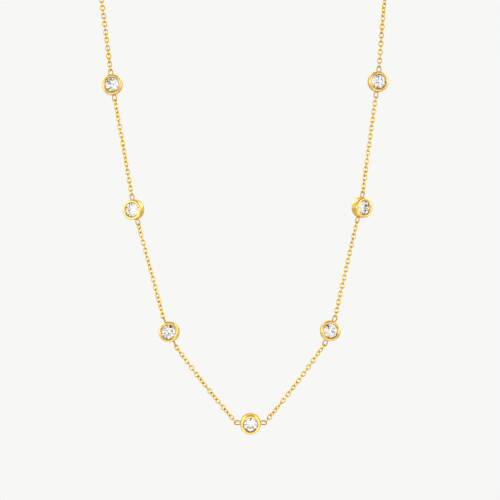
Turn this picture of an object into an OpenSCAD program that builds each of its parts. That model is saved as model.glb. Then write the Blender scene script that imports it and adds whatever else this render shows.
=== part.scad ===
// Station necklace: seven bezel-set round stones joined by fine oval-link chain.
// Millimetres. +Z is up, -Y is the side that the stones face, +X is the viewer's right.
// The origin is on the axis of the wearer's neck, level with the chain at the nape.

/* [Chain links] */
// Outer length of one link
link_l = 1.562; // [1.4:0.002:1.8]
// Outer width of one link
link_w = 1.1; // [1.04:0.02:1.4]
// Thickness of the wire that the links are made of
link_wire = 0.25; // [0.2:0.01:0.28]
// Clear gap between two links where one holds the other
link_gap = 0.135; // [0.12:0.005:0.18]
// Number of links between two settings
links_between = 23; // [15:2:25]

/* [Settings] */
// Outer diameter of a setting
setting_d = 4.6; // [4.5:0.05:5]
// Depth of a setting, from its rim to its back
setting_depth = 2.2; // [2.1:0.05:2.5]
// Diameter of the opening that shows the stone
opening_d = 3.1; // [3:0.05:3.25]
// Radius of the rounding of the rim
rim_round = 0.34; // [0.26:0.01:0.36]
// Diameter of the round window in the back
window_d = 2.2; // [1.6:0.1:2.6]
// How deep an end loop is soldered into the wall
loop_sink = 0.12; // [0.08:0.01:0.2]
// How far the end loops lie behind mid depth
loop_back = 0.75; // [0:0.05:0.8]

/* [Stones] */
// Diameter of a stone at its girdle
stone_d = 3.4; // [3.34:0.02:3.5]
// Height of the crown, from the girdle to the table
crown_h = 0.44; // [0.4:0.02:0.5]
// Thickness of the girdle
girdle_h = 0.08; // [0.06:0.01:0.12]
// Depth of the pavilion, from the girdle to the point
pavilion_h = 1.48; // [1.4:0.02:1.52]
// How far the table lies below the rim
table_sink = 0.14; // [0.08:0.01:0.18]
// Clear gap between a stone and its setting
stone_gap = 0.05; // [0.04:0.01:0.06]

/* [Worn form] */
// Height of the nape above the lowest stone
drop = 130; // [125:1:140]
// How far the lowest stone hangs in front of the neck's axis
front_reach = 50; // [46:1:54]
// How far the clasp lies behind the neck's axis
nape_reach = 45; // [42:0.5:47]

/* [Clasp] */
// Length of the clasp's body
clasp_l = 7; // [5:0.5:9]
// Diameter of the clasp's body
clasp_d = 2.4; // [2:0.1:3]
// Rounding of the clasp's ends
clasp_round = 0.6; // [0.3:0.05:0.8]

/* [Hidden] */

// The two sides, from the lowest stone upward. A row holds a length of chain and its station.
// heading and pose are angles above the horizontal, bend is how far the heading opens to each
// end of the length, lean tips both back, turn is the face's turn to the viewer's right about
// the chain, and loops is the turn of the end loops against the face.
heading = 0;
bend = 1;
lean = 2;
pose = 3;
turn = 4;
loops = 5;
left_side = [
    [51.7, 3, 2, 66.25, -8.5, 90],
    [75, -0.15, 4, 77.15, -23, 0],
    [79.95, -0.5, 7, 81.55, -4, 0]
];
right_side = [
    [52.7, 3.2, 2, 68.4, 6, 0],
    [77.1, -0.4, 4, 78.75, 37, 0],
    [82.25, -0.5, 7, 83.4, 8, 0]
];
// How far the face of the lowest stone looks down
lowest_turn = 17;

// How the links of a length twist, in rows of share of the length and angle, from its lower end.
// At 0 the even links are seen face-on, at 90 the odd ones, and between them both stand aslant.
left_twists = [
    [[0, -17], [0.12, 38], [0.21, 86], [0.35, 135], [0.43, 178], [0.55, 225], [0.65, 268],
        [0.73, 272], [0.84, 305], [0.95, 272], [1, 261.5]],
    [[0, 81.5], [0.1, 60], [0.26, 42], [0.35, 5], [0.43, -3], [0.56, -45], [0.71, -88], [0.8, -90],
        [0.89, -55], [1, -23]],
    [[0, -23], [0.1, -8], [0.25, 5], [0.33, 35], [0.48, 55], [0.56, 85], [0.7, 92], [0.78, 125],
        [0.88, 145], [1, 176]]
];
right_twists = [
    [[0, 17], [0.08, 5], [0.19, 45], [0.3, 88], [0.385, 92], [0.48, 130], [0.6, 95], [0.78, 90],
        [0.88, 135], [1, 186]],
    [[0, 6], [0.1, 3], [0.7, 0], [0.83, 20], [1, 37]],
    [[0, 37], [0.25, 25], [0.45, 12], [0.55, 0], [1, 8]]
];

// Routes of the two long chains from the highest settings round the neck to the clasp
left_route = [
    [-32.85, -40, -37], [-34.3, -36.5, -28], [-37, -30, -21], [-40, -21.5, -15.5],
    [-42.5, -12, -11.5], [-43, -3, -8.5], [-42.5, 6.5, -6], [-40, 16, -4],
    [-36, 24.5, -2.5], [-30, 32.5, -1.5], [-23, 39, -0.5], [-14, 43.5, 0]
];
right_route = [
    [29.6, -40, -37], [31.5, -36.5, -28], [34.5, -30, -21.5], [38, -21.5, -16.5],
    [41, -12.5, -12.5], [43, -3, -9.5], [42.5, 6.5, -7], [40, 15.5, -5],
    [35.5, 24.5, -3.5], [30, 32, -2], [22.5, 39, -1], [14, 43.5, 0]
];
// Rings and sides of the plain form of a long chain, and its gap to the loops that hold it
route_rings = 40;
route_sides = 8;
route_gap = 0.1;

// Smoothness of round parts
wire_sides = 20;
ring_sides = 72;

// Links
link_end_r = (link_w - link_wire) / 2;
bar_step = link_wire + link_gap;
clasp_loop_reach = clasp_l / 2 + link_l / 2 - loop_sink;

// Settings: heights are measured along the face's axis from mid depth, the face being negative
half_depth = setting_depth / 2;
rim_r = opening_d / 2 + rim_round;
rim_at = half_depth - rim_round;
wall_r = setting_d / 2;
// The wall bulges on an arc that meets the rim's rounding in a smooth line
bulge_c = (pow(wall_r - rim_round, 2) - pow(rim_r, 2) - pow(rim_at, 2))
    / (2 * (wall_r - rim_round - rim_r));
wall_at_loop = bulge_c + sqrt(pow(wall_r - bulge_c, 2) - pow(loop_back, 2));
loop_reach = wall_at_loop + link_l / 2 - loop_sink;

// Stones: a round brilliant of table, stars, kites, halves, girdle and pavilion
stone_r = stone_d / 2;
table_r = 0.55 * stone_r;
table_at = -half_depth + table_sink;
girdle_at = table_at + crown_h;
girdle_end = girdle_at + girdle_h;
culet_at = girdle_end + pavilion_h;
cuts = 8;
half_cut = 180 / cuts;
kite_r = (table_r + stone_r) / 2 / cos(half_cut);
kite_at = (table_at + girdle_at) / 2;
main_r = 0.3 * stone_r;
main_at = culet_at - pavilion_h * main_r * cos(half_cut) / stone_r;
// Slope of the crown's lower part, which the lip follows
lip_slope = (girdle_at - kite_at) / (stone_r - kite_r);
lip_gap = stone_gap * 1.5;

// Places of all settings and links of a side, 0 for the left and 1 for the right
tables = [left_side, right_side];
twists = [left_twists, right_twists];
per_side = len(left_side);
piece_count = links_between + 1;

function unit(v) = v / norm(v);
function way(side) = 2 * side - 1;
function ahead(rise, back, side) =
    [way(side) * cos(rise) * cos(back), sin(back), sin(rise) * cos(back)];

// The direction that a piece faces when it is turned about its own run
function face_of(along, turned) =
    let (level = unit([0, -1, 0] + along.y * along))
    level * cos(turned) + cross(along, level) * sin(turned);

// Headings in walking order: lowest setting, then each length's links and the setting it leads to
function headings(side) = concat([[way(side), 0, 0]], [
    for (row = tables[side]) for (k = [1:piece_count])
        k <= links_between
            ? ahead(row[heading] + row[bend] * (2 * k / piece_count - 1), row[lean], side)
            : ahead(row[pose], row[lean], side)
]);

// Which places in the walking order are settings, how each is turned, and whose loops are edge-on
function is_station(k) = k % piece_count == 0;
function turn_of(side, k) = k == 0 ? way(side) * lowest_turn : tables[side][k / piece_count - 1][turn];
function edge_on(side, k) = k > 0 && tables[side][k / piece_count - 1][loops] != 0;

// Distance from the middle of a piece to the centre of the round end that holds the next one
function reach(k) = (is_station(k) ? loop_reach : 0) + (link_l - link_w) / 2;

// From the centre of a round end to its wire where the chain pulls on it. A face-on loop is
// pulled within its own plane.
function to_wire(side, k, along, pull) =
    is_station(k) && !edge_on(side, k)
        ? let (n = face_of(along, turn_of(side, k))) link_end_r * unit(pull - (pull * n) * n)
        : link_end_r * pull;

// Where the chain turns a corner, the wire slides along the round end that lies in the corner's
// plane: a setting's face-on loop, or else the link beside it
function slides_on_own(side, k) =
    is_station(k) ? !edge_on(side, k) : is_station(k + 1) ? edge_on(side, k + 1) : true;

// Each piece hangs in the one before it, with the same clear gap from wire to wire
function walk(side, dirs, at, k = 0, done = []) =
    k == len(dirs) - 1
        ? concat(done, [at])
        : let (u = dirs[k], v = dirs[k + 1], held = link_end_r - bar_step,
            joint = slides_on_own(side, k)
                ? to_wire(side, k, u, v) + held * v
                : to_wire(side, k + 1, v, u) + held * u)
            walk(side, dirs, at + reach(k) * u + joint + reach(k + 1) * v, k + 1,
                concat(done, [at]));

lowest = [0, -front_reach, -drop];
dirs_of = [headings(0), headings(1)];
places_of = [for (side = [0, 1]) walk(side, dirs_of[side], lowest)];

// Settings and lengths are numbered from the left. Each has a side, 0 or 1, and a row there.
stations = len(left_side) + 1 + len(right_side);
lengths = len(left_side) + len(right_side);
function side_of(n, middle) = n <= middle ? 0 : 1;
function station_row(i) = abs(i - per_side - 1);
function length_row(n) = n <= per_side ? per_side - n : n - per_side - 1;

gold = [0.93, 0.72, 0.28];
clear_stone = [0.93, 0.95, 0.97];

// Stands children at a place, with their Z along the chain and their -Y as the turned face
module stand(at, along, turned) {
    face = face_of(along, turned);
    across = cross(along, face);
    multmatrix([
        [across.x, -face.x, along.x, at.x],
        [across.y, -face.y, along.y, at.y],
        [across.z, -face.z, along.z, at.z]
    ]) children();
}

// One oval link in the XZ plane, long way up
module link() {
    straight = link_l - link_w;
    rotate([90, 0, 0]) {
        for (end = [0, 1])
            rotate([0, 0, 180 * end]) translate([0, straight / 2, 0])
                rotate_extrude(angle = 180, $fn = 2 * wire_sides)
                    translate([link_end_r, 0]) circle(d = link_wire, $fn = wire_sides);
        for (x = [-link_end_r, link_end_r])
            translate([x, 0, 0]) rotate([90, 0, 0])
                cylinder(d = link_wire, h = straight, center = true, $fn = wire_sides);
    }
}

// Both end loops of a setting or of the clasp, in line with Z
module end_loops(reach_z, turned) {
    for (side = [-1, 1])
        translate([0, 0, side * reach_z]) rotate([0, 0, turned]) link();
}

// Half section of a setting: radius across, height along its axis, the face downward
module setting_section() {
    difference() {
        union() {
            intersection() {
                translate([bulge_c, 0]) circle(wall_r - bulge_c, $fn = 4 * ring_sides);
                translate([0, -rim_at]) square([wall_r, 2 * rim_at]);
            }
            for (y = [-rim_at, rim_at])
                translate([rim_r, y]) circle(rim_round, $fn = ring_sides);
            translate([0, -rim_at]) square([rim_r, rim_at + half_depth]);
        }
        pocket_section();
    }
}

// What is cut for the stone: opening, groove under the lip, sloping seat and back window
module pocket_section() {
    open_r = opening_d / 2;
    pocket_r = stone_r + stone_gap;
    window_r = window_d / 2;
    groove_at = girdle_at - lip_gap;
    lip_at = groove_at - (stone_r - open_r) * lip_slope;
    seat_at = girdle_end + stone_gap;
    seat_end = seat_at + (stone_r - window_r) * pavilion_h / stone_r;
    polygon([
        [-1, -half_depth - 1], [open_r, -half_depth - 1], [open_r, lip_at],
        [pocket_r, groove_at], [pocket_r, seat_at], [window_r, seat_end],
        [window_r, half_depth + 1], [-1, half_depth + 1]
    ]);
}

// A ring of points around the stone's axis
function around(count, r, y, start) =
    [for (i = [0:count - 1]) [
        r * cos(start + 360 * i / count), y, -r * sin(start + 360 * i / count)
    ]];

// A brilliant with its axis on Y and its table toward -Y
module brilliant() {
    pts = concat(
        around(cuts, table_r, table_at, 0),
        around(cuts, kite_r, kite_at, half_cut),
        around(2 * cuts, stone_r, girdle_at, 0),
        around(2 * cuts, stone_r, girdle_end, 0),
        around(cuts, main_r, main_at, half_cut),
        [[0, culet_at, 0]]
    );
    kite = cuts;
    top = 2 * cuts;
    low = 4 * cuts;
    main = 6 * cuts;
    culet = 7 * cuts;
    function next(i) = (i + 1) % cuts;
    function past(i) = (2 * i + 2) % (2 * cuts);
    polyhedron(pts, concat(
        [[for (i = [0:cuts - 1]) i]],
        [for (i = [0:cuts - 1]) each [
            [i, kite + i, next(i)],
            [next(i), kite + i, top + past(i), kite + next(i)],
            [kite + i, top + 2 * i, top + 2 * i + 1],
            [kite + i, top + 2 * i + 1, top + past(i)],
            [low + 2 * i, main + i, low + 2 * i + 1],
            [low + 2 * i + 1, main + i, low + past(i)],
            [low + past(i), main + i, culet, main + next(i)],
            [top + 2 * i, low + 2 * i, low + 2 * i + 1, top + 2 * i + 1],
            [top + 2 * i + 1, low + 2 * i + 1, low + past(i), top + past(i)]
        ]]
    ));
}

// Stands children at setting i, in its own directions, with the end loops' middles on Z
module at_station(i) {
    side = side_of(i, per_side);
    row = station_row(i);
    k = row * piece_count;
    stand(places_of[side][k], dirs_of[side][k], turn_of(side, k)) children();
}

module setting(i) {
    row = station_row(i);
    loops_turned = row == 0 ? 0 : tables[side_of(i, per_side)][row - 1][loops];
    color(gold) at_station(i) {
        translate([0, -loop_back, 0]) rotate([-90, 0, 0])
            rotate_extrude($fn = ring_sides) setting_section();
        end_loops(loop_reach, loops_turned);
    }
}

module stone(i) {
    color(clear_stone) at_station(i) translate([0, -loop_back, 0]) brilliant();
}

// The links of length n, each a loose closed ring that passes through its neighbours
module chain(n) {
    side = side_of(n, per_side);
    row = length_row(n);
    first = row * piece_count;
    color(gold)
        for (k = [1:links_between])
            stand(places_of[side][first + k], dirs_of[side][first + k],
                90 * (k % 2) + lookup(k / piece_count, twists[side][row])) link();
}

// A smooth curve through the points of a route
function curve_at(p, u) =
    let (i = min(floor(u), len(p) - 2), t = u - i,
        b = p[i], c = p[i + 1],
        a = i == 0 ? 2 * b - c : p[i - 1],
        d = i == len(p) - 2 ? 2 * c - b : p[i + 2])
    b + 0.5 * t * (c - a + t * (2 * a - 5 * b + 4 * c - d + t * (3 * b - 3 * c + d - a)));

// The plain form of a long chain: one tube of the links' width, swept along its route
module long_chain(side, route) {
    last = len(places_of[side]) - 1;
    out = link_l / 2 + route_gap;
    points = concat(
        [places_of[side][last] + (loop_reach + out) * dirs_of[side][last]],
        route,
        [[way(side) * (clasp_loop_reach + out), nape_reach, 0]]
    );
    step = (len(points) - 1) / (route_rings - 1);
    centres = [for (i = [0:route_rings - 1]) curve_at(points, i * step)];
    rings = [for (i = [0:route_rings - 1])
        let (tangent = unit(centres[min(i + 1, route_rings - 1)] - centres[max(i - 1, 0)]),
            outward = unit([centres[i].x, centres[i].y, 0]),
            across = unit(cross(tangent, outward)),
            over = cross(tangent, across))
        each [for (j = [0:route_sides - 1])
            let (angle = 360 * j / route_sides)
            centres[i] + link_w / 2 * (cos(angle) * across + sin(angle) * over)]
    ];
    end = (route_rings - 1) * route_sides;
    color(gold) polyhedron(rings, concat(
        [[for (j = [0:route_sides - 1]) j]],
        [for (i = [0:route_rings - 2]) for (j = [0:route_sides - 1])
            let (a = i * route_sides, b = a + route_sides, n = (j + 1) % route_sides)
            each [[a + j, b + j, b + n], [a + j, b + n, a + n]]],
        [[for (j = [route_sides - 1:-1:0]) end + j]]
    ));
}

// The plain closed clasp at the nape: a barrel with a loop at each end
module clasp() {
    color(gold) translate([0, nape_reach, 0]) rotate([0, 90, 0]) {
        rotate_extrude($fn = ring_sides) {
            square([clasp_d / 2 - clasp_round, clasp_l / 2]);
            translate([0, -clasp_l / 2]) square([clasp_d / 2 - clasp_round, clasp_l / 2]);
            translate([0, -clasp_l / 2 + clasp_round])
                square([clasp_d / 2, clasp_l - 2 * clasp_round]);
            for (y = [-1, 1])
                translate([clasp_d / 2 - clasp_round, y * (clasp_l / 2 - clasp_round)])
                    circle(clasp_round, $fn = ring_sides);
        }
        end_loops(clasp_loop_reach, 0);
    }
}

for (i = [1:stations]) {
    setting(i);
    stone(i);
}
for (n = [1:lengths])
    chain(n);
long_chain(0, left_route);  // chain_left
long_chain(1, right_route);  // chain_right
clasp();
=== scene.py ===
import math

import bpy
import numpy as np
from bpy.props import FloatProperty, FloatVectorProperty, IntProperty, PointerProperty
from mathutils import Matrix, Vector


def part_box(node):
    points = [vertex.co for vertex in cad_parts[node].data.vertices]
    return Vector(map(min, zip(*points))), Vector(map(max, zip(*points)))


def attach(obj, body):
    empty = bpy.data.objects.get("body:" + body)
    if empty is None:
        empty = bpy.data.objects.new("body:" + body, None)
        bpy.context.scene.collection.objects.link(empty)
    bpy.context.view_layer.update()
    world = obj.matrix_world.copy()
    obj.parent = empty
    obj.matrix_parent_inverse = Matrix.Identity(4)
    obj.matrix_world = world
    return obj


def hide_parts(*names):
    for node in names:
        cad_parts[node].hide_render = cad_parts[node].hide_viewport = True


bl_info = {
    "name": "Station Necklace",
    "version": (1, 0, 0),
    "blender": (4, 5, 0),
    "location": "3D View > Sidebar > Necklace",
    "description": "Finishes a gold station necklace with round stones and fine oval-link chain",
    "category": "Object",
}

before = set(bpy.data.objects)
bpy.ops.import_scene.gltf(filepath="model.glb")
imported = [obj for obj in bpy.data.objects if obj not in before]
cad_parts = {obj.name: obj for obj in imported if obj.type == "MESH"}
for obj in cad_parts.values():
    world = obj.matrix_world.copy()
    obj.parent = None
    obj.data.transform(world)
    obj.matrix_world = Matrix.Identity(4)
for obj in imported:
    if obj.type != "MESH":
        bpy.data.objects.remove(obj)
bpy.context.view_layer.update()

# The settings and stones count from the left side over the lowest one to the right side
SETTINGS = [f"setting_{i}" for i in range(1, 8)]
STONES = [f"stone_{i}" for i in range(1, 8)]
FRONT_CHAINS = [f"chain_{n}" for n in range(1, 7)]
LINKS_BETWEEN = 23
LOWEST = 4
MM = 0.001
LARGEST_LINK = 2 * MM

# Routes of the two long chains, from the loop of a highest setting round the neck to the clasp
LEFT_ROUTE = [
    (-0.030793, -0.043818, -0.052893), (-0.03285, -0.04, -0.037), (-0.0343, -0.0365, -0.028),
    (-0.037, -0.03, -0.021), (-0.04, -0.0215, -0.0155), (-0.0425, -0.012, -0.0115),
    (-0.043, -0.003, -0.0085), (-0.0425, 0.0065, -0.006), (-0.04, 0.016, -0.004),
    (-0.036, 0.0245, -0.0025), (-0.03, 0.0325, -0.0015), (-0.023, 0.039, -0.0005),
    (-0.014, 0.0435, 0), (-0.004161, 0.045, 0),
]
RIGHT_ROUTE = [
    (0.028307, -0.043815, -0.052206), (0.0296, -0.04, -0.037), (0.0315, -0.0365, -0.028),
    (0.0345, -0.03, -0.0215), (0.038, -0.0215, -0.0165), (0.041, -0.0125, -0.0125),
    (0.043, -0.003, -0.0095), (0.0425, 0.0065, -0.007), (0.04, 0.0155, -0.005),
    (0.0355, 0.0245, -0.0035), (0.03, 0.032, -0.002), (0.0225, 0.039, -0.001),
    (0.014, 0.0435, 0), (0.004161, 0.045, 0),
]
# Points of the line that a long chain follows, for each stretch of its route
LINE_STEPS = 16
# How the links of a long chain twist, in rows of share of the length and degrees
LEFT_TWIST = [(0, -4), (0.07, 0), (1, 0)]
RIGHT_TWIST = [(0, 8), (0.075, 4), (0.095, 45), (0.3, 45), (0.45, 0), (1, 0)]
# Shares of a long chain's length between which its links turn from the viewer to the neck
LYING = (0.14, 0.34)

# Inputs that every tree of links has
LINK_SIZES = [
    ("Link Length", "Float"), ("Link Width", "Float"), ("Wire Thickness", "Float"),
    ("Link Corners", "Int"), ("Wire Corners", "Int"),
]
# Radius of a link's wire as a share of its thickness, a little more than half, so that a wire
# with few corners looks as thick as a round one
WIRE_RADIUS = 0.52
# Where the painted shade at a link's tips falls off, from the tip, in half widths of the link
CROSSING_END = (0.35, 0.85)

# Where a shade starts and ends in a setting's own frame, in millimetres: forward of the stone's
# middle, out from the stone's axis, and out along the run to the loops
FRONT = (0.1, 0.3)
# Painted shade on the stone's edge, next to the gold
STONE_EDGE_SHADE = (1.43, 1.54)
# Painted shadow: the thin dark line in the gap where a stone sits
SEAT_SHADOW = (1.585, 1.645)
# Painted shade on the lip in front of the stone
LIP = (1.595, 1.755)
JOINT_START = (2.175, 2.275)
JOINT_END = (2.325, 2.575)
LOOP_START = (2.305, 2.475)
LOOP_CROSSING = (3.275, 3.575)
# The same for the loops of the clasp, from its middle
CLASP_CROSSING = (4.5, 4.85)
# How dark the shades are, from 0 to 1, with a value for each setting of the painted shadow round
# its stone
SEAT_SHADES = (1, 0.15, 1, 1, 1, 0, 1)
LIP_SHADE = 0.7
JOINT_SHADE = 0.6
LOOP_SHADE = 0.72
LOWEST_LOOP_SHADE = 0.8
CROSSING_SHADE = 0.85
# Roughness that the darkest shade adds
SHADE_DULLING = 0.12
# How far the gold of the chains goes to the deeper tone, from 0 to 1
FRONT_DEPTH = 0.0
SIDE_DEPTH = 0.8

# Noise of the materials: how fine it is, in grains for each millimetre, and its levels
WEAR_SCALE = 2.6
WEAR_LEVELS = (0.35, 0.7)
SETTING_PATCHES = 0.9
CLASP_PATCHES = 0.8
CHAIN_PATCHES = 1.7
PATCH_LEVELS = (0.35, 0.65)
BURNISHING_SCALE = 14.0
LATHE_SCALE = (15, 0.6, 0.6)
CHAIN_LINES = 16.0
LINES_STRENGTH = 0.6
STONE_GRAIN = 2.5
STONE_LEVELS = (0.3, 0.8)
STONE_ROUGHNESS = 0.02

# The studio around the necklace, as soft round patches: the direction of the middle, the inner
# and the outer angle in degrees, and the light
STUDIO_PATCHES = [
    ((0, -0.35, 1), 12, 62, (0.5, 0.37, 0.19)),
    ((0, -0.2, -1), 25, 70, (1.15, 1.13, 1.05)),
    ((0, 1, -0.1), 20, 50, (0.75, 0.66, 0.5)),
    ((-0.85, -0.5, -0.1), 16, 42, (1.42, 1.38, 1.42)),
    ((0.85, -0.45, -0.05), 16, 42, (1.36, 1.32, 1.36)),
]
# Noise levels between which the light that the stones gather falls off into a gap
GAP_LEVELS = (0.55, 0.6)
# Soft panels of light: name, place, width, height and power
PANELS = [
    ("left_panel", (-0.6, -0.45, -0.1), 0.3, 0.5, 0.25),
    ("right_panel", (0.6, -0.4, -0.05), 0.3, 0.5, 0.23),
    ("low_panel", (0, -0.3, -0.4), 0.6, 0.3, 0.2),
    ("back_left_panel", (-0.42, 0.4, 0.3), 0.3, 0.4, 0.4),
    ("back_right_panel", (0.42, 0.4, 0.3), 0.3, 0.4, 0.4),
]
# The point that all the panels face, and how widely they shine, in degrees
PANEL_TARGET = (0, -0.02, -0.09)
PANEL_SPREAD = 100

# The floor's corners, the scale of its mottle, its darkest share of the background, and its
# roughness
FLOOR_CORNERS = 96
FLOOR_SCALE = 3.0
FLOOR_DARKEST = 0.99
FLOOR_ROUGHNESS = 0.9
# The camera's sensor in millimetres, and how far it sees in metres
SENSOR_WIDTH = 36
FARTHEST_SEEN = 100


class ChainSizes(bpy.types.PropertyGroup):
    """Sizes of the fine oval-link chain"""

    link_length: FloatProperty(
        name="Link Length", description="Outer length of one link",
        default=0.00143, min=0.001, max=0.003, precision=5, subtype="DISTANCE", unit="LENGTH",
    )
    link_width: FloatProperty(
        name="Link Width", description="Outer width of one link",
        default=0.00114, min=0.0008, max=0.002, precision=5, subtype="DISTANCE", unit="LENGTH",
    )
    wire_thickness: FloatProperty(
        name="Wire Thickness", description="Thickness of the wire that the links are made of",
        default=0.00025, min=0.0001, max=0.0004, precision=5, subtype="DISTANCE", unit="LENGTH",
    )
    front_corners: IntProperty(
        name="Front Link Corners", description="Corners around a link of the front chains",
        default=20, min=8, max=48,
    )
    front_wire_corners: IntProperty(
        name="Front Wire Corners", description="Corners around the wire of the front chains",
        default=8, min=4, max=16,
    )
    side_corners: IntProperty(
        name="Side Link Corners", description="Corners around a link of the long side chains",
        default=16, min=8, max=48,
    )
    side_wire_corners: IntProperty(
        name="Side Wire Corners", description="Corners around the wire of the long side chains",
        default=6, min=4, max=16,
    )
    left_links: IntProperty(
        name="Left Links", description="Links in the long chain on the viewer's left",
        default=147, min=3, max=400,
    )
    right_links: IntProperty(
        name="Right Links", description="Links in the long chain on the viewer's right",
        default=139, min=3, max=400,
    )
    side_gain: FloatProperty(
        name="Side Gain", description="How much fuller the links of the long side chains are",
        default=1.05, min=1, max=1.1, precision=3, subtype="FACTOR",
    )
    play: FloatProperty(
        name="Play", description="Most that a link is turned about its own length, either way",
        default=0.21, min=0, max=0.6, precision=3, subtype="ANGLE", unit="ROTATION",
    )
    seed: IntProperty(
        name="Seed", description="Start of the slight change of tone and turn from link to link",
        default=7, min=0,
    )


class GoldFinish(bpy.types.PropertyGroup):
    """Colours and wear of the polished gold"""

    bright: FloatVectorProperty(
        name="Bright Gold", description="Colour of the cleanest metal",
        default=(0.95, 0.7, 0.25), min=0, max=1, subtype="COLOR",
    )
    deep: FloatVectorProperty(
        name="Deep Gold", description="Colour where the plating is a little thicker",
        default=(0.9, 0.59, 0.13), min=0, max=1, subtype="COLOR",
    )
    # Painted shade where links cross and on the lip before each stone; it also darkens the loops
    shaded: FloatVectorProperty(
        name="Shaded Gold", description="Colour where links cross and the polish doesn't reach",
        default=(0.4, 0.21, 0.01), min=0, max=1, subtype="COLOR",
    )
    # Painted shadow: colour of the thin dark line in the gap where a stone sits
    seat_shadow: FloatVectorProperty(
        name="Seat Line", description="Colour of the thin dark line where a stone is seated",
        default=(0.2, 0.08, 0.012), min=0, max=1, subtype="COLOR",
    )
    edge: FloatVectorProperty(
        name="Edge Tint", description="Colour of the metal where it is seen at a low angle",
        default=(1.0, 0.88, 0.55), min=0, max=1, subtype="COLOR",
    )
    gloss: FloatProperty(
        name="Least Roughness", description="Roughness of the best polished places",
        default=0.07, min=0, max=1, subtype="FACTOR",
    )
    dull: FloatProperty(
        name="Most Roughness", description="Roughness where handling has dulled the polish",
        default=0.2, min=0, max=1, subtype="FACTOR",
    )
    chain_bright: FloatVectorProperty(
        name="Bright Chain", description="Colour of the cleanest links",
        default=(0.86, 0.7, 0.14), min=0, max=1, subtype="COLOR",
    )
    chain_deep: FloatVectorProperty(
        name="Deep Chain", description="Colour of the links with the thickest plating",
        default=(0.88, 0.57, 0.025), min=0, max=1, subtype="COLOR",
    )
    chain_edge: FloatVectorProperty(
        name="Chain Edge Tint", description="Colour of the links where seen at a low angle",
        default=(0.98, 0.8, 0.14), min=0, max=1, subtype="COLOR",
    )
    chain_dulling: FloatProperty(
        name="Chain Dulling", description="Roughness that the links have above the settings",
        default=0.12, min=0, max=1, subtype="FACTOR",
    )
    scratch_depth: FloatProperty(
        name="Scratch Depth", description="Depth of the fine polishing lines",
        default=0.0000012, min=0, max=0.0001, precision=7, subtype="DISTANCE", unit="LENGTH",
    )


class StoneFinish(bpy.types.PropertyGroup):
    """Look of the clear cut stones"""

    tint: FloatVectorProperty(
        name="Tint", description="Colour that the stone gives to light passing through",
        default=(0.97, 0.985, 1.0), min=0, max=1, subtype="COLOR",
    )
    # Painted shade on the stone's edge, where it meets the gold
    edge: FloatVectorProperty(
        name="Edge Shade", description="Colour of the stone's shaded edge, beside the seat",
        default=(0.5, 0.4, 0.32), min=0, max=1, subtype="COLOR",
    )
    refraction: FloatProperty(
        name="Refractive Index", description="How strongly the stone bends light",
        default=2.15, min=1.3, max=2.6,
    )


class StudioSizes(bpy.types.PropertyGroup):
    """Camera, floor and light of the stage"""

    photo_width: FloatProperty(
        name="Picture Width", description="Width that the picture covers at the front settings",
        default=0.11, min=0.01, max=1, subtype="DISTANCE", unit="LENGTH",
    )
    camera_distance: FloatProperty(
        name="Camera Distance", description="Distance from the camera to the front settings",
        default=3.0, min=0.3, max=10, subtype="DISTANCE", unit="LENGTH",
    )
    aim: FloatVectorProperty(
        name="Aim", description="Point that the camera looks at",
        default=(-0.00011, -0.048, -0.09203), precision=5, subtype="XYZ", unit="LENGTH",
    )
    floor_level: FloatProperty(
        name="Floor Level", description="Height of the floor, where the clasp's is 0",
        default=-0.45, min=-2, max=0, subtype="DISTANCE", unit="LENGTH",
    )
    floor_radius: FloatProperty(
        name="Floor Radius", description="Radius of the round floor",
        default=5.0, min=0.2, max=8, subtype="DISTANCE", unit="LENGTH",
    )
    background: FloatVectorProperty(
        name="Background", description="Pale colour behind the necklace",
        default=(0.93, 0.93, 0.913), min=0, max=1, subtype="COLOR",
    )
    sky: FloatProperty(
        name="Surrounding Light", description="Strength of the light from all around",
        default=0.92, min=0, max=10,
    )
    stone_sky: FloatProperty(
        name="Light in Stones", description="Strength of the light that the stones gather",
        default=1.17, min=0, max=10,
    )
    gap_scale: FloatProperty(
        name="Gap Scale", description="How finely the dark gaps that the stones gather are spread",
        default=11.0, min=0.5, max=20,
    )
    gap_light: FloatProperty(
        name="Gap Light", description="Light left in the dark gaps that the stones gather",
        default=0.04, min=0, max=1, subtype="FACTOR",
    )


def settings_of(context):
    """All the values that a user may change."""
    return context.scene.station_necklace


class NecklaceProperties(bpy.types.PropertyGroup):
    """All that a user may change on the necklace and its stage"""

    chain: PointerProperty(type=ChainSizes)
    gold: PointerProperty(type=GoldFinish)
    stone: PointerProperty(type=StoneFinish)
    studio: PointerProperty(type=StudioSizes)


def new_material(name):
    """A fresh node material: its node tree, its shader and its output are ready."""
    material = bpy.data.materials.new(name)
    material.use_nodes = True
    return material, material.node_tree, material.node_tree.nodes["Principled BSDF"]


def add(tree, kind, inputs=None, **options):
    """Adds a node, sets its options and gives its inputs a value or a link."""
    node = tree.nodes.new(kind)
    for name, value in options.items():
        setattr(node, name, value)
    for name, value in (inputs or {}).items():
        socket = node.inputs[name]
        if isinstance(value, bpy.types.NodeSocket):
            tree.links.new(value, socket)
        else:
            socket.default_value = value
    return node


def two_tones(tree, factor, low, high):
    """A colour between two, by a factor from 0 to 1."""
    return add(
        tree, "ShaderNodeMix", {"Factor": factor, 6: low, 7: high}, data_type="RGBA"
    ).outputs[2]


def math_of(tree):
    """A short way to add maths nodes to a tree."""
    def step(operation, *values):
        inputs = dict(enumerate(values))
        return add(tree, "ShaderNodeMath", inputs, operation=operation).outputs[0]
    return step


def ramp(tree, value, low, high, to_low=0.0, to_high=1.0):
    """Smooth step from one level to another as a value goes from low to high."""
    return add(tree, "ShaderNodeMapRange", {
        "Value": value, "From Min": low, "From Max": high, "To Min": to_low, "To Max": to_high,
    }, interpolation_type="SMOOTHSTEP").outputs["Result"]


def noise(tree, place, scale, detail, roughness=0.5):
    """Level of a noise at a place, from 0 to 1."""
    return add(tree, "ShaderNodeTexNoise", {
        "Vector": place, "Scale": scale, "Detail": detail, "Roughness": roughness,
    }).outputs["Fac"]


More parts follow.
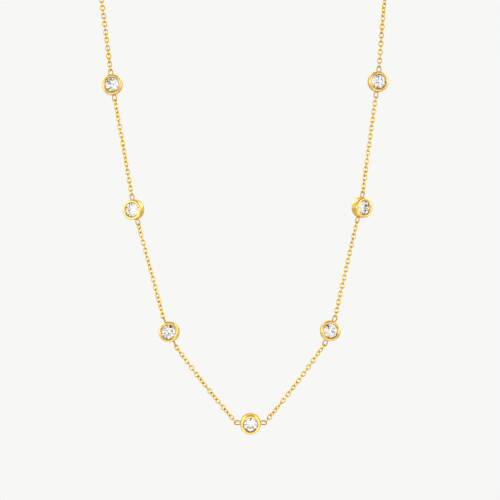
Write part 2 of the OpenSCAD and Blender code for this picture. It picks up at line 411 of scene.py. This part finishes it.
def place_in_mm(tree, middle=(0, 0, 0), turn=(0, 0, 0)):
    """Place on the object in millimetres, from a middle and in a turned frame."""
    return add(tree, "ShaderNodeMapping", {
        "Vector": add(tree, "ShaderNodeTexCoord").outputs["Object"],
        "Location": middle, "Rotation": turn, "Scale": (MM, MM, MM),
    }, vector_type="TEXTURE").outputs["Vector"]


def patchy_gold(tree, finish, place, scale):
    """Colour of the clean gold of settings and clasp, in soft patches of two tones."""
    tone = ramp(tree, noise(tree, place, scale, 4.0), *PATCH_LEVELS)
    return two_tones(tree, tone, (*finish.deep, 1), (*finish.bright, 1))


def finish_gold(tree, shader, finish, place, clean, shade, lines, edge, dulling=0.0):
    """Joins what all the gold has: painted shade, worn gloss and polishing lines.

    place is in millimetres, clean is the colour of the clean metal, shade goes from 0 to 1,
    lines is the height of the polishing lines, edge is the colour at a low angle, and dulling
    is roughness added everywhere. The colour is given back, so that more can be laid on it.
    """
    colour = two_tones(tree, shade, clean, (*finish.shaded, 1))
    tree.links.new(colour, shader.inputs["Base Color"])
    worn = ramp(tree, noise(tree, place, WEAR_SCALE, 5.0, 0.7), *WEAR_LEVELS)
    step = math_of(tree)
    rough = step("MULTIPLY_ADD", worn, finish.dull - finish.gloss, finish.gloss + dulling)
    rough = step("MULTIPLY_ADD", shade, SHADE_DULLING, rough)
    tree.links.new(rough, shader.inputs["Roughness"])
    bump = add(tree, "ShaderNodeBump", {
        "Height": lines, "Strength": LINES_STRENGTH, "Distance": finish.scratch_depth,
    })
    tree.links.new(bump.outputs["Normal"], shader.inputs["Normal"])
    shader.inputs["Metallic"].default_value = 1
    shader.inputs["Specular Tint"].default_value = (*edge, 1)
    return colour


def chain_gold(finish, name, depth):
    """Gold of the links: its tone changes from link to link, and painted shade lies where they
    cross.

    depth goes from 0 to 1, and at 1 all the links have the deepest tone.
    """
    made = bpy.data.materials.get(name)
    if made:
        return made
    material, tree, shader = new_material(name)
    place = place_in_mm(tree)
    own = add(tree, "ShaderNodeAttribute", attribute_name="tone").outputs["Fac"]
    patches = noise(tree, place, CHAIN_PATCHES, 3.0)
    step = math_of(tree)
    tone = step("MULTIPLY", step("ADD", own, patches), 0.5 * (1 - depth))
    clean = two_tones(tree, tone, (*finish.chain_deep, 1), (*finish.chain_bright, 1))
    # Painted shade where the links cross, strongest at each link's tips
    painted_crossing_shade = add(tree, "ShaderNodeAttribute", attribute_name="painted_crossing_shade").outputs["Fac"]
    shade = step("MULTIPLY", painted_crossing_shade, CROSSING_SHADE)
    lines = noise(tree, place, CHAIN_LINES, 2.0)
    finish_gold(tree, shader, finish, place, clean, shade, lines, finish.chain_edge,
                finish.chain_dulling)
    return material


def own_frame(i):
    """Middle of a setting's stone, and the setting's own directions: run, across and face."""
    stone = corners_of(f"stone_{i}")
    # Each corner counts once, however many faces meet there
    middle = np.unique(stone.round(7), axis=0).mean(axis=0)
    # The face looks to the viewer, and the run goes to the right or up
    face = axes_of(stone)[0]
    face = face if face.y < 0 else -face
    run = axes_of(corners_of(f"setting_{i}"))[2]
    run = (run - run.dot(face) * face).normalized()
    run = run if run.x + run.z > 0 else -run
    return Vector(middle), run, face.cross(run), face


def own_place(tree, i):
    """Place in millimetres in setting i's own frame, with its radius round the stone's axis."""
    middle, run, across, face = own_frame(i)
    turn = Matrix((run, across, face)).transposed().to_euler()
    place = place_in_mm(tree, middle, turn)
    x, y, z = add(tree, "ShaderNodeSeparateXYZ", {0: place}).outputs
    step = math_of(tree)
    radius = step("SQRT", step("ADD", step("POWER", x, 2.0), step("POWER", y, 2.0)))
    return place, radius, (x, y, z)


def setting_gold(finish, i, loop_shade):
    """Gold of one setting, with patterns that follow its own round shape."""
    material, tree, shader = new_material(f"setting_gold_{i}")
    place, radius, (x, y, z) = own_place(tree, i)
    step = math_of(tree)
    reach = step("ABSOLUTE", x)

    clean = patchy_gold(tree, finish, place, SETTING_PATCHES)
    # Painted shade lies only on the lip in front of the stone, and the cup behind it is bright
    front = ramp(tree, z, *FRONT, 0.0, SEAT_SHADES[i - 1])
    lip = step("MULTIPLY", front, ramp(tree, radius, *LIP, LIP_SHADE, 0.0))
    seat_shadow = step("MULTIPLY", front, ramp(tree, radius, *SEAT_SHADOW, 1.0, 0.0))
    joint = step("MULTIPLY", ramp(tree, reach, *JOINT_START, 0.0, JOINT_SHADE),
                 ramp(tree, reach, *JOINT_END, 1.0, 0.0))
    loop = ramp(tree, reach, *LOOP_START, 0.0, loop_shade)
    # Painted shade where the links of the chain cross the far ends of the loops
    painted_crossing_shade = ramp(tree, reach, *LOOP_CROSSING, 0.0, CROSSING_SHADE)
    shade = step("MAXIMUM", step("MAXIMUM", lip, joint), step("MAXIMUM", loop, painted_crossing_shade))

    # Burnishing lines run round the stone
    ring = add(tree, "ShaderNodeCombineXYZ", {
        "X": step("MULTIPLY", radius, BURNISHING_SCALE),
        "Y": step("MULTIPLY", z, BURNISHING_SCALE), "Z": step("ARCTAN2", y, x),
    }).outputs[0]
    lines = noise(tree, ring, 1.0, 3.0)
    gold = finish_gold(tree, shader, finish, place, clean, shade, lines, finish.edge)
    # The painted shadow of the thin dark line round the stone goes over all the rest
    tree.links.new(two_tones(tree, seat_shadow, gold, (*finish.seat_shadow, 1)), shader.inputs["Base Color"])
    return material


def clasp_gold(finish):
    """Gold of the clasp, with lathe lines round its barrel."""
    material, tree, shader = new_material("clasp_gold")
    place = place_in_mm(tree, (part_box("clasp")[0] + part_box("clasp")[1]) / 2)
    clean = patchy_gold(tree, finish, place, CLASP_PATCHES)
    x = add(tree, "ShaderNodeSeparateXYZ", {0: place}).outputs["X"]
    reach = math_of(tree)("ABSOLUTE", x)
    # Painted shade where the links of the chain cross the loops of the clasp
    painted_crossing_shade = ramp(tree, reach, *CLASP_CROSSING, 0.0, CROSSING_SHADE)
    turned = add(tree, "ShaderNodeMapping", {"Vector": place, "Scale": LATHE_SCALE})
    lines = noise(tree, turned.outputs["Vector"], 1.0, 3.0)
    finish_gold(tree, shader, finish, place, clean, painted_crossing_shade, lines, finish.edge)
    return material


def stone_material(finish, i):
    """Clear cut stone with a faint cool tint, slight polishing marks and painted shade on its
    edge.
    """
    material, tree, shader = new_material(f"clear_cut_stone_{i}")
    place, radius, _ = own_place(tree, i)
    grain = noise(tree, place, STONE_GRAIN, 3.0)
    tint = two_tones(tree, grain, (*finish.tint, 1), (1, 1, 1, 1))
    # Painted shade on the stone's edge, next to the gold
    edge = ramp(tree, radius, *STONE_EDGE_SHADE, 0.0, SEAT_SHADES[i - 1])
    tint = two_tones(tree, edge, tint, (*finish.edge, 1))
    tree.links.new(tint, shader.inputs["Base Color"])
    polish = ramp(tree, grain, *STONE_LEVELS, 0.0, STONE_ROUGHNESS)
    tree.links.new(polish, shader.inputs["Roughness"])
    shader.inputs["IOR"].default_value = finish.refraction
    shader.inputs["Transmission Weight"].default_value = 1
    return material


def corners_of(name):
    """Corners of a CAD node, in rows."""
    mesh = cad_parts[name].data
    rows = np.zeros(3 * len(mesh.vertices))
    mesh.vertices.foreach_get("co", rows)
    return rows.reshape(-1, 3)


def axes_of(rows):
    """Main directions of a set of corners, from its thinnest to its longest."""
    spread = rows - rows.mean(axis=0)
    return [Vector(v) for v in np.linalg.eigh(spread.T @ spread)[1].T]


def dress(name, material):
    """Gives a CAD node a material in place of its plain one."""
    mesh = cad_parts[name].data
    mesh.materials.clear()
    mesh.materials.append(material)


class NECKLACE_OT_polish_settings(bpy.types.Operator):
    """Give the seven round settings their polished gold"""

    bl_idname = "necklace.polish_settings"
    bl_label = "Polish Settings"

    def execute(self, context):
        for i, name in enumerate(SETTINGS, start=1):
            loop_shade = LOWEST_LOOP_SHADE if i == LOWEST else LOOP_SHADE
            dress(name, setting_gold(settings_of(context).gold, i, loop_shade))
        return {"FINISHED"}


class NECKLACE_OT_clear_stones(bpy.types.Operator):
    """Give the seven cut stones their clear finish"""

    bl_idname = "necklace.clear_stones"
    bl_label = "Clear Stones"

    def execute(self, context):
        for i, name in enumerate(STONES, start=1):
            dress(name, stone_material(settings_of(context).stone, i))
        return {"FINISHED"}


class NECKLACE_OT_polish_clasp(bpy.types.Operator):
    """Give the closed clasp its polished gold"""

    bl_idname = "necklace.polish_clasp"
    bl_label = "Polish Clasp"

    def execute(self, context):
        dress("clasp", clasp_gold(settings_of(context).gold))
        return {"FINISHED"}


def curve_at(points, u):
    """Point of the smooth curve through the points, at u steps from its start."""
    i = min(int(u), len(points) - 2)
    t = u - i
    b, c = Vector(points[i]), Vector(points[i + 1])
    a = 2 * b - c if i == 0 else Vector(points[i - 1])
    d = 2 * c - b if i == len(points) - 2 else Vector(points[i + 2])
    return b + 0.5 * t * (c - a + t * (2 * a - 5 * b + 4 * c - d + t * (3 * b - 3 * c + d - a)))


def between(rows, share):
    """Value at a share of the length, from rows of share and value."""
    for (s0, v0), (s1, v1) in zip(rows, rows[1:]):
        if share <= s1:
            return v0 + (v1 - v0) * (share - s0) / (s1 - s0)
    return rows[-1][1]


def smooth_step(low, high, value):
    """0 up to the low value, 1 from the high value on, and a smooth rise between them."""
    t = min(max((value - low) / (high - low), 0), 1)
    return t * t * (3 - 2 * t)


def carrier(name, points, edges, vectors):
    """An object of bare points, with named vectors on them, for the links to hang on."""
    mesh = bpy.data.meshes.new(name)
    mesh.from_pydata(points, edges, [])
    for key in vectors:
        mesh.attributes.new(key, "FLOAT_VECTOR", "POINT")
    for key, rows in vectors.items():
        mesh.attributes[key].data.foreach_set("vector", np.array(rows, float).ravel())
    made = bpy.data.objects.new(name, mesh)
    bpy.context.scene.collection.objects.link(made)
    return made


def side_line(name, route, twist):
    """A line of points that a long chain follows, with the way that its even links face."""
    count = LINE_STEPS * (len(route) - 1) + 1
    points = [curve_at(route, i / LINE_STEPS) for i in range(count)]
    gone = [0.0]
    for a, b in zip(points, points[1:]):
        gone.append(gone[-1] + (b - a).length)
    facing = []
    for i, point in enumerate(points):
        share = gone[i] / gone[-1]
        run = points[min(i + 1, count - 1)] - points[max(i - 1, 0)]
        outward = Vector((point.x, point.y, 0)).normalized()
        # In front the links face the viewer, and further back they lie on the neck
        front = Vector((0, -1, 0)).lerp(outward, smooth_step(*LYING, share))
        turn = Matrix.Rotation(math.radians(between(twist, share)), 3, run)
        facing.append(turn @ (front - front.project(run)).normalized())
    edges = [(i, i + 1) for i in range(count - 1)]
    return carrier(name, points, edges, {"facing": facing})


def link_places(name):
    """Points where the links of a CAD chain lie, with the run and the facing of each."""
    links = corners_of(name).reshape(LINKS_BETWEEN, -1, 3)
    if np.ptp(links, axis=1).max() > LARGEST_LINK:
        raise RuntimeError(f"the links of {name} can't be told apart")
    axes = [axes_of(link) for link in links]
    return carrier(name + "_places", [link.mean(axis=0) for link in links], [], {
        "run": [a[2] for a in axes], "facing": [a[0] for a in axes],
    })


def new_tree(name, inputs):
    """A Geometry Nodes tree with named inputs, a geometry output and its inputs' node."""
    tree = bpy.data.node_groups.new(name, "GeometryNodeTree")
    for socket, kind in inputs:
        tree.interface.new_socket(socket, in_out="INPUT", socket_type="NodeSocket" + kind)
    tree.interface.new_socket("Geometry", in_out="OUTPUT", socket_type="NodeSocketGeometry")
    return tree, add(tree, "NodeGroupInput").outputs


def oval_link_tree():
    """Tree that makes one oval link, its long way on X, with its ends marked for painted shade
    where links cross.
    """
    tree, sizes = new_tree("Oval Link", LINK_SIZES)
    step = math_of(tree)
    half = {
        way: step("MULTIPLY", step("SUBTRACT", sizes[name], sizes["Wire Thickness"]), 0.5)
        for way, name in (("X", "Link Length"), ("Y", "Link Width"))
    }
    ring = add(tree, "GeometryNodeCurvePrimitiveCircle", {
        "Resolution": sizes["Link Corners"], "Radius": 1.0,
    })
    oval = add(tree, "GeometryNodeTransform", {
        "Geometry": ring.outputs["Curve"],
        "Scale": add(tree, "ShaderNodeCombineXYZ", {**half, "Z": 1.0}).outputs[0],
    })
    wire = add(tree, "GeometryNodeCurvePrimitiveCircle", {
        "Resolution": sizes["Wire Corners"],
        "Radius": step("MULTIPLY", sizes["Wire Thickness"], WIRE_RADIUS),
    })
    link = add(tree, "GeometryNodeCurveToMesh", {
        "Curve": oval.outputs["Geometry"], "Profile Curve": wire.outputs["Curve"],
    })
    x, y, _ = add(tree, "ShaderNodeSeparateXYZ", {
        0: add(tree, "GeometryNodeInputPosition").outputs[0],
    }).outputs
    short = step("SUBTRACT", half["X"], step("ABSOLUTE", x))
    from_end = step("SQRT", step("ADD", step("POWER", short, 2.0), step("POWER", y, 2.0)))
    # Each point keeps how much painted shade it gets where links cross
    marked = add(tree, "GeometryNodeStoreNamedAttribute", {
        "Geometry": link.outputs["Mesh"], "Name": "painted_crossing_shade",
        "Value": ramp(tree, step("DIVIDE", from_end, half["Y"]), *CROSSING_END, 1.0, 0.0),
    }, data_type="FLOAT", domain="POINT")
    smooth = add(tree, "GeometryNodeSetShadeSmooth", {"Geometry": marked.outputs["Geometry"]})
    add(tree, "NodeGroupOutput", {"Geometry": smooth.outputs["Geometry"]})
    return tree


def hang_links(tree, sizes, link_tree, points, selection, turn):
    """Puts a link on each chosen point, gives each its own play and tone, and makes them real."""
    link = add(tree, "GeometryNodeGroup", {
        name: sizes[name] for name, _ in LINK_SIZES
    }, node_tree=link_tree)
    play = add(tree, "FunctionNodeRandomValue", {
        2: math_of(tree)("MULTIPLY", sizes["Play"], -1.0), 3: sizes["Play"],
        "Seed": sizes["Seed"],
    }, data_type="FLOAT")
    rolled = add(tree, "FunctionNodeRotateRotation", {
        "Rotation": turn, "Rotate By": add(tree, "FunctionNodeAxisAngleToRotation", {
            "Axis": (1, 0, 0), "Angle": play.outputs[1],
        }).outputs[0],
    }, rotation_space="LOCAL")
    hung = add(tree, "GeometryNodeInstanceOnPoints", {
        "Points": points, "Selection": selection, "Rotation": rolled.outputs[0],
        "Instance": link.outputs["Geometry"],
    })
    own = add(tree, "FunctionNodeRandomValue", {"Seed": sizes["Seed"]}, data_type="FLOAT")
    toned = add(tree, "GeometryNodeStoreNamedAttribute", {
        "Geometry": hung.outputs["Instances"], "Name": "tone", "Value": own.outputs[1],
    }, data_type="FLOAT", domain="INSTANCE")
    real = add(tree, "GeometryNodeRealizeInstances", {"Geometry": toned.outputs["Geometry"]})
    done = add(tree, "GeometryNodeSetMaterial", {
        "Geometry": real.outputs["Geometry"], "Material": sizes["Finish"],
    })
    add(tree, "NodeGroupOutput", {"Geometry": done.outputs["Geometry"]})


def named_vector(tree, name):
    """A vector that was kept on the points."""
    return add(
        tree, "GeometryNodeInputNamedAttribute", {"Name": name}, data_type="FLOAT_VECTOR"
    ).outputs["Attribute"]


def turned_to(tree, run, facing):
    """Rotation that lays X along a run and turns Z to a facing."""
    return add(
        tree, "FunctionNodeAxesToRotation", {0: run, 1: facing},
        primary_axis="X", secondary_axis="Z",
    ).outputs[0]


def placed_chain_tree(link_tree):
    """Tree that hangs a link on every point, as its run and facing say."""
    tree, sizes = new_tree("Links In Place", [
        ("Geometry", "Geometry"), *LINK_SIZES, ("Play", "Float"), ("Seed", "Int"),
        ("Finish", "Material"),
    ])
    turn = turned_to(tree, named_vector(tree, "run"), named_vector(tree, "facing"))
    hang_links(tree, sizes, link_tree, sizes["Geometry"], True, turn)
    return tree


def strung_chain_tree(link_tree):
    """Tree that strings links evenly along a line, each turned a quarter from the last."""
    tree, sizes = new_tree("Links Along Line", [
        ("Geometry", "Geometry"), ("Links", "Int"), *LINK_SIZES, ("Play", "Float"),
        ("Seed", "Int"), ("Finish", "Material"),
    ])
    step = math_of(tree)
    # The two ends of the line lie in the loops that hold the chain, and carry no link
    line = add(tree, "GeometryNodeMeshToCurve", {"Mesh": sizes["Geometry"]})
    places = add(tree, "GeometryNodeResampleCurve", {
        "Curve": line.outputs["Curve"], "Count": step("ADD", sizes["Links"], 2.0),
    })
    ends = add(tree, "GeometryNodeCurveEndpointSelection", {"Start Size": 1, "End Size": 1})
    inner = add(tree, "FunctionNodeBooleanMath", {0: ends.outputs[0]}, operation="NOT")
    run = add(tree, "GeometryNodeInputTangent").outputs[0]
    odd = step("MODULO", add(tree, "GeometryNodeInputIndex").outputs[0], 2.0)
    quarter = add(tree, "FunctionNodeAxisAngleToRotation", {
        "Axis": (1, 0, 0), "Angle": step("MULTIPLY", odd, math.pi / 2),
    })
    turn = add(tree, "FunctionNodeRotateRotation", {
        "Rotation": turned_to(tree, run, named_vector(tree, "facing")),
        "Rotate By": quarter.outputs[0],
    }, rotation_space="LOCAL")
    hang_links(tree, sizes, link_tree, places.outputs["Curve"], inner.outputs[0],
               turn.outputs[0])
    return tree


def signed_volume(mesh):
    """Volume inside a mesh: negative where its faces point inward."""
    mesh.calc_loop_triangles()
    rows = np.zeros(3 * len(mesh.vertices))
    mesh.vertices.foreach_get("co", rows)
    corners = np.zeros(3 * len(mesh.loop_triangles), int)
    mesh.loop_triangles.foreach_get("vertices", corners)
    a, b, c = rows.reshape(-1, 3)[corners.reshape(-1, 3)].transpose(1, 0, 2)
    return (a * np.cross(b, c)).sum() / 6


def plain_piece(name, node, line, tree, values):
    """Runs a tree on its points, and keeps the result as a plain mesh in place of a node."""
    modifier = line.modifiers.new("Links", "NODES")
    modifier.node_group = tree
    for item in tree.interface.items_tree:
        if item.item_type == "SOCKET" and item.in_out == "INPUT" and item.name in values:
            modifier[item.identifier] = values[item.name]
    made = line.evaluated_get(bpy.context.evaluated_depsgraph_get())
    mesh = bpy.data.meshes.new_from_object(made)
    if not mesh.polygons:
        raise RuntimeError(f"{name} came out without links")
    mesh.materials.clear()
    mesh.materials.append(values["Finish"])
    mesh.polygons.foreach_set("material_index", [0] * len(mesh.polygons))
    # The links are turned by now, so that the vectors on their points have no more use
    for key in ("run", "facing"):
        if key in mesh.attributes:
            mesh.attributes.remove(mesh.attributes[key])
    if signed_volume(mesh) < 0:
        mesh.flip_normals()
    line.modifiers.clear()
    bpy.data.objects.remove(line)
    piece = bpy.data.objects.new(name, mesh)
    bpy.context.scene.collection.objects.link(piece)
    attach(piece, "root")
    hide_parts(node)
    return piece


def link_values(context, part, depth):
    """Values of the link inputs for the front chains or the side chains."""
    sizes = settings_of(context).chain
    gain = sizes.side_gain if part == "side" else 1
    return {
        "Link Length": sizes.link_length, "Link Width": sizes.link_width * gain,
        "Wire Thickness": sizes.wire_thickness * gain,
        "Link Corners": getattr(sizes, part + "_corners"),
        "Wire Corners": getattr(sizes, part + "_wire_corners"),
        "Play": sizes.play, "Seed": sizes.seed,
        "Finish": chain_gold(settings_of(context).gold, part + "_chain_gold", depth),
    }


class NECKLACE_OT_hang_front_chains(bpy.types.Operator):
    """Hang the links of the six lengths between the settings, each in its place"""

    bl_idname = "necklace.hang_front_chains"
    bl_label = "Hang Front Chains"

    def execute(self, context):
        tree = placed_chain_tree(oval_link_tree())
        for node in FRONT_CHAINS:
            plain_piece("front_" + node, node, link_places(node), tree,
                        link_values(context, "front", FRONT_DEPTH))
        return {"FINISHED"}


class NECKLACE_OT_string_side_chains(bpy.types.Operator):
    """String the links of the two long chains round the neck"""

    bl_idname = "necklace.string_side_chains"
    bl_label = "String Side Chains"

    def execute(self, context):
        tree = strung_chain_tree(oval_link_tree())
        sizes = settings_of(context).chain
        for side, route, twist, links in (
            ("left", LEFT_ROUTE, LEFT_TWIST, sizes.left_links),
            ("right", RIGHT_ROUTE, RIGHT_TWIST, sizes.right_links),
        ):
            line = side_line(side + "_line", route, twist)
            plain_piece("side_chain_" + side, "chain_" + side, line, tree,
                        {"Links": links, **link_values(context, "side", SIDE_DEPTH)})
        return {"FINISHED"}


def soft_light(name, at, width, height, power):
    """A soft panel of light, turned to the necklace, that the camera doesn't see."""
    light = bpy.data.lights.new(name, "AREA")
    light.shape = "RECTANGLE"
    light.size = width
    light.size_y = height
    light.energy = power
    light.spread = math.radians(PANEL_SPREAD)
    lamp = bpy.data.objects.new(name, light)
    lamp.location = at
    way = Vector(PANEL_TARGET) - Vector(at)
    lamp.rotation_euler = way.to_track_quat("-Z", "Y").to_euler()
    lamp.visible_camera = False
    bpy.context.scene.collection.objects.link(lamp)


def patch(tree, direction, toward, inner, outer):
    """Soft-edged round patch of the surroundings, 1 within the inner angle, 0 past the outer."""
    facing = add(tree, "ShaderNodeVectorMath", {
        0: direction, 1: Vector(toward).normalized(),
    }, operation="DOT_PRODUCT")
    return add(tree, "ShaderNodeMapRange", {
        "Value": facing.outputs["Value"],
        "From Min": math.cos(math.radians(outer)), "From Max": math.cos(math.radians(inner)),
    }, interpolation_type="SMOOTHSTEP").outputs["Result"]


def surroundings(studio):
    """Pale background for the camera, and a soft studio for all that reflects."""
    world = bpy.data.worlds.new("studio")
    world.use_nodes = True
    tree = world.node_tree
    tree.nodes.clear()
    direction = add(tree, "ShaderNodeTexCoord").outputs["Generated"]
    glow = (studio.sky, studio.sky, studio.sky, 1)
    for toward, inner, outer, light in STUDIO_PATCHES:
        glow = two_tones(tree, patch(tree, direction, toward, inner, outer), glow, (*light, 1))
    # The stones gather white light from all round, with small dark gaps that their facets break up
    gaps = noise(tree, direction, studio.gap_scale, 1.0)
    strength = ramp(tree, gaps, *GAP_LEVELS, studio.stone_sky, studio.gap_light)
    seen = add(tree, "ShaderNodeBackground", {"Color": (*studio.background, 1), "Strength": 1.0})
    around = add(tree, "ShaderNodeBackground", {"Color": glow, "Strength": 1.0})
    gathered = add(tree, "ShaderNodeBackground", {"Color": (1, 1, 1, 1), "Strength": strength})
    path = add(tree, "ShaderNodeLightPath").outputs
    lit = add(tree, "ShaderNodeMixShader", {
        0: path["Is Transmission Ray"], 1: around.outputs[0], 2: gathered.outputs[0],
    })
    mix = add(tree, "ShaderNodeMixShader", {
        0: path["Is Camera Ray"], 1: lit.outputs[0], 2: seen.outputs[0],
    })
    add(tree, "ShaderNodeOutputWorld", {"Surface": mix.outputs[0]})
    return world


def round_floor(studio):
    """The plain round floor under the necklace."""
    rim = []
    for i in range(FLOOR_CORNERS):
        angle = 2 * math.pi * i / FLOOR_CORNERS
        rim.append((studio.floor_radius * math.cos(angle),
                    studio.floor_radius * math.sin(angle), studio.floor_level))
    mesh = bpy.data.meshes.new("pale_floor")
    mesh.from_pydata(rim, [], [list(range(FLOOR_CORNERS))])
    mesh.materials.append(floor_material(studio))
    floor = bpy.data.objects.new("pale_floor", mesh)
    bpy.context.scene.collection.objects.link(floor)
    return floor


def floor_material(studio):
    """Plain pale matt floor with a very faint mottle."""
    material, tree, shader = new_material("pale_floor")
    place = add(tree, "ShaderNodeTexCoord").outputs["Object"]
    mottle = noise(tree, place, FLOOR_SCALE, 3.0)
    darkest = [FLOOR_DARKEST * value for value in studio.background]
    colour = two_tones(tree, mottle, (*darkest, 1), (*studio.background, 1))
    tree.links.new(colour, shader.inputs["Base Color"])
    shader.inputs["Roughness"].default_value = FLOOR_ROUGHNESS
    return material


class NECKLACE_OT_set_stage(bpy.types.Operator):
    """Make the floor, the light and the camera"""

    bl_idname = "necklace.set_stage"
    bl_label = "Set Stage"

    def execute(self, context):
        studio = settings_of(context).studio
        floor = round_floor(studio)
        for panel in PANELS:
            soft_light(*panel)
        context.scene.world = surroundings(studio)
        context.scene.view_settings.view_transform = "Standard"

        lens = bpy.data.cameras.new("camera")
        lens.sensor_width = SENSOR_WIDTH
        lens.lens = lens.sensor_width * studio.camera_distance / studio.photo_width
        lens.clip_end = FARTHEST_SEEN
        camera = bpy.data.objects.new("camera", lens)
        camera.location = Vector(studio.aim) - Vector((0, studio.camera_distance, 0))
        camera.rotation_euler = (math.pi / 2, 0, 0)
        context.scene.collection.objects.link(camera)
        context.scene.camera = camera
        return {"FINISHED"}


OPERATORS = (
    NECKLACE_OT_polish_settings,
    NECKLACE_OT_clear_stones,
    NECKLACE_OT_hang_front_chains,
    NECKLACE_OT_string_side_chains,
    NECKLACE_OT_polish_clasp,
    NECKLACE_OT_set_stage,
)


class NECKLACE_PT_panel(bpy.types.Panel):
    """Lists the steps that make the necklace"""

    bl_idname = "NECKLACE_PT_panel"
    bl_label = "Station Necklace"
    bl_space_type = "VIEW_3D"
    bl_region_type = "UI"
    bl_category = "Necklace"

    def draw(self, context):
        for operator in OPERATORS:
            self.layout.operator(operator.bl_idname)
        for group in ("chain", "gold", "stone", "studio"):
            box = self.layout.box()
            box.label(text=group.title())
            values = getattr(settings_of(context), group)
            for name in values.bl_rna.properties.keys():
                if name not in {"rna_type", "name"}:
                    box.prop(values, name)


CLASSES = (
    ChainSizes, GoldFinish, StoneFinish, StudioSizes, NecklaceProperties,
    *OPERATORS, NECKLACE_PT_panel,
)


def register():
    """Makes the values, the operators and the panel known."""
    for cls in CLASSES:
        bpy.utils.register_class(cls)
    bpy.types.Scene.station_necklace = PointerProperty(type=NecklaceProperties)


def unregister():
    """Takes them out again."""
    del bpy.types.Scene.station_necklace
    for cls in reversed(CLASSES):
        bpy.utils.unregister_class(cls)


def main():
    """Makes the necklace and its stage."""
    register()
    bpy.ops.necklace.polish_settings()
    bpy.ops.necklace.clear_stones()
    bpy.ops.necklace.hang_front_chains()
    bpy.ops.necklace.string_side_chains()
    bpy.ops.necklace.polish_clasp()
    bpy.ops.necklace.set_stage()


if __name__ == "__main__":
    main()
